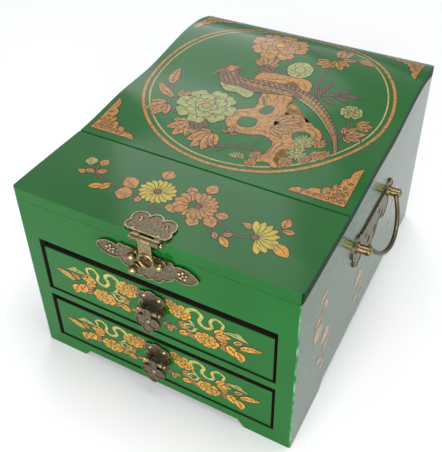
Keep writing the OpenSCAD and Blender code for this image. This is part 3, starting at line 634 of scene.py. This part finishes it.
def ring(plan, colour, centre, radii, width, ink=0.0):
    """A painted ring; radii are its half width and half height, with a lower top half."""
    count = 180
    line = []
    for i in range(count + 1):
        a = 2 * math.pi * i / count
        tall = radii[1] if math.sin(a) > 0 else radii[0]
        line.append((centre[0] + radii[0] * math.cos(a), centre[1] + tall * math.sin(a)))
    if ink:
        plan.append(("ink", ribbon(line, lambda t: width + 2 * ink)))
    plan.append((colour, ribbon(line, lambda t: width)))


# ---- Painting on the lid -----------------------------------------------------

def fretwork_corner(plan, x, y, along, up):
    """A corner triangle with a hollow long side, filled with scrolls; along and up are signed legs."""
    sx, sy = math.copysign(1, along), math.copysign(1, up)
    steps = 48
    edge = []
    for i in range(steps + 1):
        t = i / steps
        bulge = 0.34 * math.sin(math.pi * t)
        scallop = 1.7 * abs(math.sin(math.pi * 6 * t))
        edge.append((x + along * (1 - t) * (1 - bulge) + sx * scallop,
                     y + up * t * (1 - bulge) + sy * scallop))
    outline = [(x, y)] + edge
    fill(plan, "tan", outline if sx * sy > 0 else outline[::-1], 0.5)
    pitch = 4.3
    for row in range(8):
        for col in range(8):
            cx, cy = pitch * (0.75 + col + 0.4 * (row % 2)), pitch * (0.75 + row)
            depth = math.sqrt(cx / abs(along)) + math.sqrt(cy / abs(up))
            size = 2.4 if depth < 1.02 else 1.5
            if depth < 1.17:
                turn = 90 * (row + 2 * col)
                curl(plan, x + sx * cx, y + sy * cy, size, turn, 1.25, -1 if (row + col) % 2 else 1, 0.6)
                gap = turned(x + sx * cx, y + sy * cy, turn + 40, size * 1.25)
                plan.append(("lacquer", [cloud_shape(*gap, 0.55, 3, 0.3, turn)]))


def rock(plan):
    """Weathered garden rock: worn limbs and rings, with the lacquer showing through the holes."""
    body = [(-6, 43), (-3, 34), (-2, 26), (0, 18), (-4, 13), (-10, 9), (-13, 2), (-12, -7), (-7, -13),
            (2, -16), (11, -15), (18, -12), (24, -13), (29, -16), (30, -22), (29, -29), (25, -35),
            (27, -38), (33, -36), (40, -39), (42, -37), (37, -32), (36, -25), (38, -19), (45, -17),
            (52, -12), (56, -6), (57, 2), (54, 9), (48, 12), (41, 11), (35, 6), (30, 1), (25, 0),
            (21, 3), (20, 9), (21.5, 16), (22, 23), (19, 30), (20, 37), (17, 43), (6, 44)]
    arch = [(-17, 50), (-9, 45), (2, 47), (10, 56), (16, 56), (19, 52), (21, 46), (26, 46), (28, 52),
            (26, 60), (18, 63), (6, 62), (-6, 61), (-15, 58)]
    for outline in (body, arch):
        fill(plan, "tan", smooth(outline + outline[:1])[:-1], 0.5)
    for x, y, r, turn, squash in ((3, -2.5, 7.0, 10, 0.92), (9, 17.5, 6.6, 80, 0.62),
                                  (44, -2, 6.6, 20, 0.84)):
        fill(plan, "lacquer", cloud_shape(x, y, r, 4, 0.12, turn, squash), 0.5)
        stroke(plan, "ink", [turned(x, y, a, r * 1.4, 0) for a in (-70, -40, -10, 20)], 0.45)
    for line in ([(-9, 2), (-7, 7), (-1, 9)], [(12, -9), (18, -8), (22, -10)],
                 [(36, -14), (34, -22), (34, -29)], [(51, 6), (53, 3), (53, -3)],
                 [(-1, 38), (2, 33), (3, 28)], [(14, 38), (15, 33), (17, 28)],
                 [(-4, -11), (3, -13), (9, -12)], [(44, 9), (49, 8), (52, 5)],
                 [(8, 40), (9, 35), (8, 30)], [(-8, 53), (0, 55), (8, 60)],
                 [(31, -16), (31, -24), (30, -31)], [(20, 58), (23, 56), (24, 52)]):
        stroke(plan, "ink", line, 0.55)


def tail_feather(plan, bow, width, colour):
    """One long feather that arches down to the right, barred with short dashes."""
    points = [(-8, 45 + bow * 0.4), (10, 47 + bow * 0.8), (28, 43 + bow), (44, 33 + bow),
              (58, 17 + bow * 0.8), (66, 4 + bow * 0.5), (71, -9)]
    stroke(plan, colour, points, width, 0.45, 0.35)
    line = smooth(points, 10)
    for i in range(3, len(line) - 2):
        (x, y), (nx, ny) = line[i], line[i + 1]
        angle = math.degrees(math.atan2(ny - y, nx - x))
        half = width * (1 - 0.55 * i / len(line)) * 0.4
        bar = ("ink", "buff" if colour == "rust" else "rust")[i % 2]
        stroke(plan, bar, [turned(x, y, angle, -0.7, half), turned(x, y, angle, 0.7, -half)], 0.5, 0.8)


def bird(plan):
    """A long-tailed garden bird that faces left, with barred feathers."""
    for foot in ((-6, 33), (-1, 32)):
        stroke(plan, "rust", [foot, (foot[0] + 3, 27), (foot[0] + 6, 22)], 1.0, 0.7, 0.3)
    tail_feather(plan, 3.6, 4.4, "rust")
    tail_feather(plan, -3.8, 3.6, "cream")
    tail_feather(plan, 0.0, 4.4, "tan")
    belly = [(-41, 40), (-37, 33), (-30, 28), (-22, 29), (-17, 27), (-11, 26), (-9, 32), (-14, 38),
             (-26, 41), (-36, 44)]
    fill(plan, "cream", smooth(belly + belly[:1])[:-1])
    back = [(-46, 48), (-42, 40), (-35, 36), (-24, 37), (-12, 35), (0, 37), (14, 41), (26, 41), (16, 48),
            (2, 51), (-10, 50), (-22, 48), (-30, 50), (-33, 55), (-38, 60), (-44, 57)]
    back = smooth(back + back[:1])[:-1]
    fill(plan, "rust", back)
    fill(plan, "tan", petal_shape(-44, 53, 9, 7, 20, 1.2))
    stroke(plan, "tan", [(-44, 52), (-48, 47), (-48.5, 41)], 1.7, 0.2, 0.3)
    for end in ((-33, 61), (-30, 58)):
        stroke(plan, "tan", [(-38, 57), end], 1.3, 0.3, 0.25)
    fill(plan, "cream", cloud_shape(-41.5, 54.5, 0.9, 4, 0.0), 0.5)
    for row in range(5):
        for i in range(13):
            x = -40 + 4.4 * i + 2.2 * (row % 2)
            y = 38.6 + 2.5 * row + 2.2 * math.sin((x + 40) / 26)
            if x < 12 and inside(back, x - 1.6, y - 0.8) and inside(back, x + 1.7, y + 1.9):
                stroke(plan, "ink", [(x - 1.6, y + 1.2), (x, y - 0.6), (x + 1.7, y + 0.9)], 0.45)
                stroke(plan, ("tan", "buff")[i % 2], [(x - 1.1, y + 1.5), (x + 1.1, y + 1.2)], 0.9, 0.6)
    for i in range(7):
        leaf(plan, -22 + 5.2 * i, 45.5 - 0.2 * i, 11, 3.4, -24 + 2 * i, "tan", -1.0, 0)
    for i in range(6):
        stroke(plan, "ink", [(-37 + 4.3 * i, 31.4 + 0.9 * math.sin(i)), (-35.2 + 4.3 * i, 32.6)], 0.4)


def paint_lid():
    """The round picture on the curved board, in two rings with fretwork in the corners."""
    plan = []
    centre = (-1, 40.5)
    ring(plan, "tan", centre, (93.2, 88.4), 2.3, 0.25)
    ring(plan, "buff", centre, (88.6, 84.0), 1.1)
    fretwork_corner(plan, -96.5, -53, 36, 37)
    fretwork_corner(plan, 94.5, -54, -38, 37)
    fretwork_corner(plan, -96.5, 128.5, 34, -34)
    fretwork_corner(plan, 94.5, 128.5, -34, -34)
    # Stems
    for points in ([(-60, -6), (-66, 8), (-72, 20), (-76, 32)],
                   [(-34, -8), (-30, -16), (-24, -22), (-18, -27)],
                   [(30, 60), (31, 72), (30, 84), (24, 94), (8, 101)], [(29, 61), (33, 52), (36, 44)],
                   [(69, 18), (68, 26), (64, 34)], [(60, -2), (66, 6), (69, 14)],
                   [(-3, -34), (10, -30), (28, -27)],
                   [(0, 62), (2, 74), (0, 84)], [(-48, -14), (-54, -12), (-60, -6)]):
        stroke(plan, "rust", points, 1.5, 0.5, 0.3)
    # Tan peony above, with the leaves under it
    spray(plan, -16, 66, 17, 90, 5, 120)
    spray(plan, -6, 60, 15, 165, 3, 60, "rust")
    peony(plan, -17, 98, 23, "tan", 3, 0.86, "gold")
    stroke(plan, "ink", [(-33, 117), (-28, 109)], 0.8)
    rock(plan)
    # Pale bud between the peony and the rock
    fill(plan, "cream", cloud_shape(11.5, 72, 10.2, 7, 0.06))
    for turn in range(0, 360, 45):
        curl(plan, *turned(11.5, 72, turn, 5), 2.6, turn, 0.7)
    # Leaves up on the right
    spray(plan, 33, 96, 15, -60, 3, 70)
    spray(plan, 30, 92, 14, 220, 3, 60)
    spray(plan, 33, 98, 19, 82, 2, 26)
    leaf(plan, 47, 104, 16, 6, -20)
    leaf(plan, 36, 98, 12, 5, 12)
    # Bamboo
    for x, y, length, angle in ((37, 52, 15, 76), (37, 50, 16, 20), (38, 48, 15, -24), (34, 44, 12, 64),
                                (50, 55, 19, 4), (50, 56, 10, 42), (46, 52, 13, -12), (33, 57, 12, -70)):
        leaf(plan, x, y, length, 2.8, angle, "rust", 0.8, 0)
    # Small pale flower and the leaves below it
    peony(plan, 65, 40, 8.2, "cream", 8, 0.8)
    spray(plan, 72, 27, 13, 14, 3, 60)
    spray(plan, 69, 12, 16, 30, 5, 150)
    # Left side leaves
    leaf(plan, -72, 18, 23, 8, 104, "tan", 1.0, 4)
    leaf(plan, -60, 2, 26, 7, 146, "tan", 1.6, 4)
    spray(plan, -60, -6, 19, 240, 4, 100)
    spray(plan, -58, 4, 12, 60, 3, 70)
    # Leaves behind and below the big pale peony
    spray(plan, -32, -20, 19, 232, 4, 96)
    spray(plan, -13, -22, 22, 250, 5, 90, "tan")
    spray(plan, -30, -14, 14, 300, 3, 60, "rust")
    peony(plan, -33, 3, 22.5, "cream", 5, 0.92)
    spray(plan, 22, 6, 19, 22, 4, 88)
    spray(plan, 20, -1, 16, 352, 3, 50)
    bird(plan)
    spray(plan, -3, -20, 10, 90, 3, 150)
    # Ground flowers along the bottom right
    for x, y, size in ((58, -5, 4.6), (61, -17, 4.4), (66, -13.5, 3.4), (55, -24, 4.2), (45, -31, 4.4),
                       (24, -33, 4.0), (24, -41, 4.0)):
        spray(plan, x, y, size * 1.5, 70, 3, 130)
        peony(plan, x, y, size, "tan", round(x), 1.0, "gold")
    needle_flower(plan, 48, -7, 8.2, 1)
    needle_flower(plan, 48, -20, 7.6, 2)
    needle_flower(plan, 13, -40, 6.2, 3, "cream", 10, 170)
    for x, y, angle in ((-3, -34, 200), (2, -32, 240), (-2, -35, 160), (8, -31, 60), (18, -28, 80)):
        stroke(plan, "rust", [(x, y), turned(x, y, angle, 4, 1), turned(x, y, angle, 9)], 0.9, 0.3, 0.25)
    return plan


def paint_flap():
    """A spray of daisies, buds and leaves along the front board of the lid."""
    plan = []
    for points in ([(-64, -88), (-60, -96), (-48, -100), (-34, -100), (-20, -102)],
                   [(26, -96), (34, -101), (42, -106), (50, -107), (59, -104)],
                   [(22, -100), (32, -110), (44, -117)], [(60, -104), (68, -97), (72, -90)],
                   [(-12, -103), (-10, -110), (-4, -105)], [(-60, -96), (-66, -92), (-72, -88)]):
        stroke(plan, "rust", points, 1.2, 0.7, 0.3)
    for x, y, length, width, angle, colour in (
            (-17, -81, 10, 9.6, 92, "tan"), (15, -81, 10, 8.4, 88, "tan"), (7, -86, 8, 7.4, 128, "tan"),
            (70, -89, 9.5, 6.6, 92, "tan"), (70, -91, 8, 4.6, 8, "tan"), (55, -97, 9, 4.2, 168, "tan"),
            (28, -96, 8.6, 6.6, 4, "tan"), (-29, -97, 13, 10.5, 148, "tan"), (-27, -103, 12, 12, 196, "tan"),
            (-46, -100, 9, 5.4, 250, "gold"), (-49, -104, 9.6, 5.2, 212, "gold"),
            (-69, -90, 9, 8.6, 118, "cream"), (-62, -88, 8, 6.6, 92, "tan"), (-61, -95, 7.4, 4.6, 40, "tan"),
            (-62, -96, 7, 4.2, 170, "tan"), (-67, -98, 6.4, 4.0, 180, "gold"), (8, -101, 11.5, 9, 196, "tan"),
            (19, -104, 8.4, 8.4, 268, "tan"), (24, -99, 12, 8.4, 316, "tan"), (-21, -102, 7, 4.4, 262, "tan"),
            (35, -110, 6, 3.6, 300, "tan"), (40, -112, 10, 5, 322, "gold"), (40, -110, 6.4, 3.4, 20, "tan"),
            (70, -103, 14, 8.4, 330, "gold")):
        bud(plan, x, y, length, width, angle, colour)
    for i in range(5):
        a = 128 + 26 * i
        fill(plan, "tan", petal_shape(*turned(12, -94, a, 3), 10.5, 6.4, a, 1.5))
    daisy(plan, 15, -94, 13.4, "tan", 13, -112, 250, 0.95)
    daisy(plan, -14.5, -93.5, 13.2, "pale_gold", 17, 8, 360, 0.86)
    for i in range(9):
        a = -62 + 22 * i
        fill(plan, "pale_gold", petal_shape(*turned(58.5, -103, a, 1.6), 12.8, 4.4, a, 1.5), 0.35)
    fill(plan, "rust", cloud_shape(58, -103.6, 2.2, 5, 0.15))
    return plan


# ---- Painting on the drawers and the sides -------------------------------------

def paint_drawer_half(plan):
    """The spray to the right of a pull, measured from the middle of the drawer front."""
    # Peony beside the pull
    peony(plan, 20, 12, 8.4, "gold", 11, 0.95, "cream")
    peony(plan, 14, 17, 4.6, "tan", 12, 1.0, "gold")
    spray(plan, 17, -3, 11, 8, 3, 40, "tan")
    # Ribbon that loops along the top
    ribbon_line = [(25, 14), (27, 19), (32, 21), (36, 17), (34, 10), (38, 5), (43, 8), (42, 15), (46, 20),
                   (51, 17), (50, 10), (55, 9), (61, 13), (67, 8)]
    stroke(plan, "cream", ribbon_line, 3.6, 0.45, 0.35)
    stroke(plan, "pale_gold", [(x, y + 0.7) for x, y in ribbon_line[:-1]], 0.9, 0.5)
    leaf(plan, 52, 10, 17, 4.2, -8, "cream", 1.2, 1)
    stroke(plan, "cream", [(27, 7), (31, -1), (27, -6), (23, -2), (27, 2), (33, 0)], 2.3, 0.6, 0.35)
    # Lower row of leaves and flowers
    for points in ([(30, -8), (44, -4), (56, -3)], [(56, -6), (64, -2), (70, 0)], [(36, 4), (38, -6)]):
        stroke(plan, "rust", points, 1.0, 0.6, 0.25)
    spray(plan, 12, -7, 10, 270, 3, 110, "tan")
    leaf(plan, 18, -14, 13, 5.6, 22, "gold", 1.0)
    leaf(plan, 24, -9, 9, 4.6, 330, "tan", 0.6)
    peony(plan, 39, -9, 8.8, "gold", 13, 0.8, "cream")
    spray(plan, 44, 2, 13, 14, 3, 74, "gold")
    spray(plan, 48, -8, 10, 4, 3, 90, "tan")
    leaf(plan, 54, -4, 14, 8.4, -52, "gold", -1.0, 3)
    leaf(plan, 60, -7, 12, 7.4, -72, "gold", 1.0, 3)
    leaf(plan, 62, -3, 17, 5.6, 24, "gold", 0.8, 4)
    leaf(plan, 58, 0, 9, 4.2, 40, "tan", 0.4)


def paint_drawer():
    """Both halves of a drawer front: the left one mirrors the right."""
    half = []
    paint_drawer_half(half)
    plan = list(half)
    for colour, shapes in half:
        plan.append((colour, [[(-x, y) for x, y in shape] for shape in shapes]))
    return plan


def fitted(plan, half_height):
    """The same plan, flattened to stay within a height."""
    tallest = max(abs(y) for _, shapes in plan for shape in shapes for _, y in shape)
    return [(colour, [[(x, y * half_height / tallest) for x, y in shape] for shape in shapes])
            for colour, shapes in plan]


def paint_side():
    """Four faint sprays on a side panel."""
    plan = []
    for x, y, turn in ((-92, 98, 250), (-84, 44, 80), (-10, 34, 100), (60, 60, 80)):
        stroke(plan, "tan", [turned(x, y, turn, -16), (x, y), turned(x, y, turn + 12, 18)], 1.1, 0.5)
        for i in range(4):
            place = turned(x, y, turn, -14 + 9 * i)
            fill(plan, "tan", petal_shape(*place, 12, 5.4, turn + (55 if i % 2 else -55), 0.9), 0)
        fill(plan, "tan", cloud_shape(*turned(x, y, turn, 19), 7, 6), 0)
    return plan


# ---- The ring cushion ----------------------------------------------------------

def puffed(piece, most):
    """Blows a piece up like stuffed cloth, moving no point further than a limit, and settles it."""
    mesh = piece.data
    before = [vert.co.copy() for vert in mesh.vertices]
    cloth = piece.modifiers.new("cloth", "CLOTH")
    cloth.settings.use_pressure = True
    cloth.settings.uniform_pressure_force = 4.0
    cloth.settings.effector_weights.gravity = 0.0
    cloth.settings.quality = 6
    cloth.settings.tension_stiffness = 30
    cloth.settings.compression_stiffness = 30
    cloth.collision_settings.use_self_collision = False
    scene = bpy.context.scene
    for frame_number in range(1, 21):
        scene.frame_set(frame_number)
    settled = piece.evaluated_get(bpy.context.evaluated_depsgraph_get()).to_mesh()
    after = [vert.co.copy() for vert in settled.vertices]
    piece.to_mesh_clear()
    piece.modifiers.remove(cloth)
    scene.frame_set(1)
    for vert, was, now in zip(mesh.vertices, before, after):
        move = now - was
        if move.length > most:
            move = move.normalized() * most
        vert.co = was + move


def ring_rolls(finish):
    """Five foam rolls under velvet that is tucked between them, for standing rings in."""
    low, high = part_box("ring_cushion")
    rolls = 5
    pitch = (high.y - low.y) / rolls
    floor = low.z + 0.3 * MM
    crown = high.z - 1.6 * MM
    tuck = low.z + 4.6 * MM
    end = 1.4 * MM
    across, along = 96, 80
    cover = bmesh.new()
    rows = []
    for i in range(across + 1):
        y = low.y + end + (high.y - low.y - 2 * end) * i / across
        phase = (y - low.y) / pitch
        roll = abs(math.sin(math.pi * phase)) ** 0.55
        row = []
        for k in range(along + 1):
            x = low.x + end + (high.x - low.x - 2 * end) * k / along
            near_end = min(x - low.x - end, high.x - end - x)
            fall = min(1.0, near_end / (4.5 * MM))
            round_end = math.sqrt(max(0.0, 1 - (1 - fall) ** 2))
            row.append(cover.verts.new((x, y, floor + (tuck - floor) * min(1, 0.3 + round_end)
                                        + (crown - tuck) * roll * round_end)))
        rows.append(row)
    for lower, upper in zip(rows, rows[1:]):
        for k in range(along):
            cover.faces.new((lower[k], lower[k + 1], upper[k + 1], upper[k]))
    rim = [edge for edge in cover.edges if edge.is_boundary]
    walls = bmesh.ops.extrude_edge_only(cover, edges=rim)["geom"]
    for vert in walls:
        if isinstance(vert, bmesh.types.BMVert):
            vert.co.z = floor
    bmesh.ops.contextual_create(cover, geom=[e for e in cover.edges if e.is_boundary])
    bmesh.ops.recalc_face_normals(cover, faces=cover.faces[:])
    mesh = bpy.data.meshes.new("ring_rolls")
    cover.to_mesh(mesh)
    cover.free()
    piece = bpy.data.objects.new("ring_rolls", mesh)
    bpy.context.scene.collection.objects.link(piece)
    remesh = piece.modifiers.new("remesh", "REMESH")
    remesh.mode = "VOXEL"
    remesh.voxel_size = 1.6 * MM
    evaluated = piece.evaluated_get(bpy.context.evaluated_depsgraph_get())
    piece.data = bpy.data.meshes.new_from_object(evaluated)
    piece.modifiers.clear()
    puffed(piece, 1.2 * MM)
    # The cloth stays off the walls, the divider and the tray's board
    off_x, off_y, off_z = 0.4 * MM, 0.3 * MM, 0.1 * MM
    for vert in piece.data.vertices:
        vert.co.x = min(max(vert.co.x, low.x + off_x), high.x - off_x)
        vert.co.y = min(max(vert.co.y, low.y + off_y), high.y - off_y)
        vert.co.z = min(max(vert.co.z, low.z + off_z), high.z)
    piece.data.materials.clear()
    piece.data.materials.append(finish)
    for polygon in piece.data.polygons:
        polygon.use_smooth = True
    relax = piece.modifiers.new("subdivision", "SUBSURF")
    relax.levels = relax.render_levels = 1
    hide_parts("ring_cushion")
    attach(piece, "case")


# ---- Laying the paint on the chest ---------------------------------------------

# Where rays start, in mm: well outside the chest
OUTSIDE = 300


def surface_of(node):
    """A node's mesh, ready for rays to be cast at it."""
    mesh = NODES[node].data
    return BVHTree.FromPolygons([v.co for v in mesh.vertices], [p.vertices for p in mesh.polygons])


def bends_of(node):
    """Where the curved board changes slope, front to back, in millimetres: paint is cut there to lie flat."""
    return sorted({round(v.co.y / MM, 3) for v in NODES[node].data.vertices})


def coats(plan):
    """How many coats deep each stroke lies: one more than the deepest stroke whose place it shares."""
    laid = []
    for _, shapes in plan:
        xs = [x for shape in shapes for x, _ in shape]
        ys = [y for shape in shapes for _, y in shape]
        left, right, low, high = min(xs), max(xs), min(ys), max(ys)
        under = [coat for x0, x1, y0, y1, coat in laid if x0 < right and left < x1 and y0 < high and low < y1]
        laid.append((left, right, low, high, 1 + max(under, default=0)))
    return [row[4] for row in laid]


def lay(name, plan, body, node, start_at, towards, paints, bends=()):
    """Turns a plan into thin layers of paint on a node: start_at(u, v) is a point out in front of it."""
    # In mm: how far the first coat stands off the board, and what each further coat adds
    film = 0.08
    layer = 0.0008
    skin = surface_of(node)
    towards = Vector(towards)
    flat = bmesh.new()
    names = sorted(paints)
    for coat, (colour, shapes) in zip(coats(plan), plan):
        height = film + layer * coat
        for shape in shapes:
            face = flat.faces.new([flat.verts.new((x, y, height)) for x, y in shape])
            face.material_index = names.index(colour)
    bmesh.ops.triangulate(flat, faces=flat.faces[:])
    for bend in bends:
        everything = flat.verts[:] + flat.edges[:] + flat.faces[:]
        bmesh.ops.bisect_plane(flat, geom=everything, plane_co=(0, bend, 0), plane_no=(0, 1, 0))
    normals = []
    step = 3.0
    for vert in flat.verts:
        u, v, height = vert.co
        hits = [skin.ray_cast(start_at(u + du, v + dv), towards)[0]
                for du, dv in ((0, 0), (0, step), (0, -step))]
        if hits[0] is None:
            raise ValueError(f"{name} runs off its board at {u:.1f}, {v:.1f}")
        normal = -towards
        if hits[1] and hits[2]:
            across = start_at(1, 0) - start_at(0, 0)
            normal = across.cross(hits[1] - hits[2]).normalized()
            normal = normal if normal.dot(towards) < 0 else -normal
        vert.co = hits[0] - towards * height * MM
        normals.append(normal)
    mesh = bpy.data.meshes.new(name)
    flat.to_mesh(mesh)
    flat.free()
    for polygon in mesh.polygons:
        polygon.use_smooth = True
        if polygon.normal.dot(towards) > 0:
            polygon.flip()
    mesh.normals_split_custom_set_from_vertices(normals)
    for paint_name in names:
        mesh.materials.append(paints[paint_name])
    piece = bpy.data.objects.new(name, mesh)
    bpy.context.scene.collection.objects.link(piece)
    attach(piece, body)
    return piece


def lay_paintings(paints):
    """The pictures on both lid boards, both drawer fronts and both sides."""
    lay("lid_painting", paint_lid(), "lid", "lid_rear_board",
        lambda u, v: Vector((u, v, OUTSIDE)) * MM, (0, 0, -1), paints, bends_of("lid_rear_board"))
    lay("flap_painting", paint_flap(), "lid", "lid_front_board",
        lambda u, v: Vector((u, v, OUTSIDE)) * MM, (0, 0, -1), paints)
    margin = 1.2
    for level in ("upper", "lower"):
        node = level + "_drawer_front"
        low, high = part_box(node)
        middle = (low.z + high.z) / 2 / MM
        lay(level + "_drawer_painting", fitted(paint_drawer(), (high.z - low.z) / 2 / MM - margin),
            level + "_drawer", node, lambda u, v, middle=middle: Vector((u, -OUTSIDE, middle + v)) * MM,
            (0, 1, 0), paints)
    for side, name in ((1, "right"), (-1, "left")):
        lay(name + "_side_painting", paint_side(), "case", name + "_side",
            lambda u, v, side=side: Vector((side * OUTSIDE, u, v)) * MM, (-side, 0, 0), paints)


make_camera()
make_light()
make_floor()
finishes = make_finishes()
finish_nodes(finishes)
# Black stain on inner faces, and painted shade in the gap between lid and case
stain_inner_faces_and_shade_gap(finishes["stained_wood"])
# The lid ends take a dark green lacquer as painted shade under the lid's overhang
paint_lid_end_shade(polished_lacquer("lid_end_painted_shade", "#02240c", "#043314", 0.16))
grain_sides(grained_lacquer())
stipple_lock(stippled_brass())
rub_back(antiqued_brass("rubbed_brass", "#786c52", "#ab9e7c", 0.36))
# Eased edges get a pale green painted highlight
ease_boards(edge_highlight_lacquer())
ring_rolls(finishes["ring_velvet"])
lay_paintings(make_paints(finishes["lacquer"]))
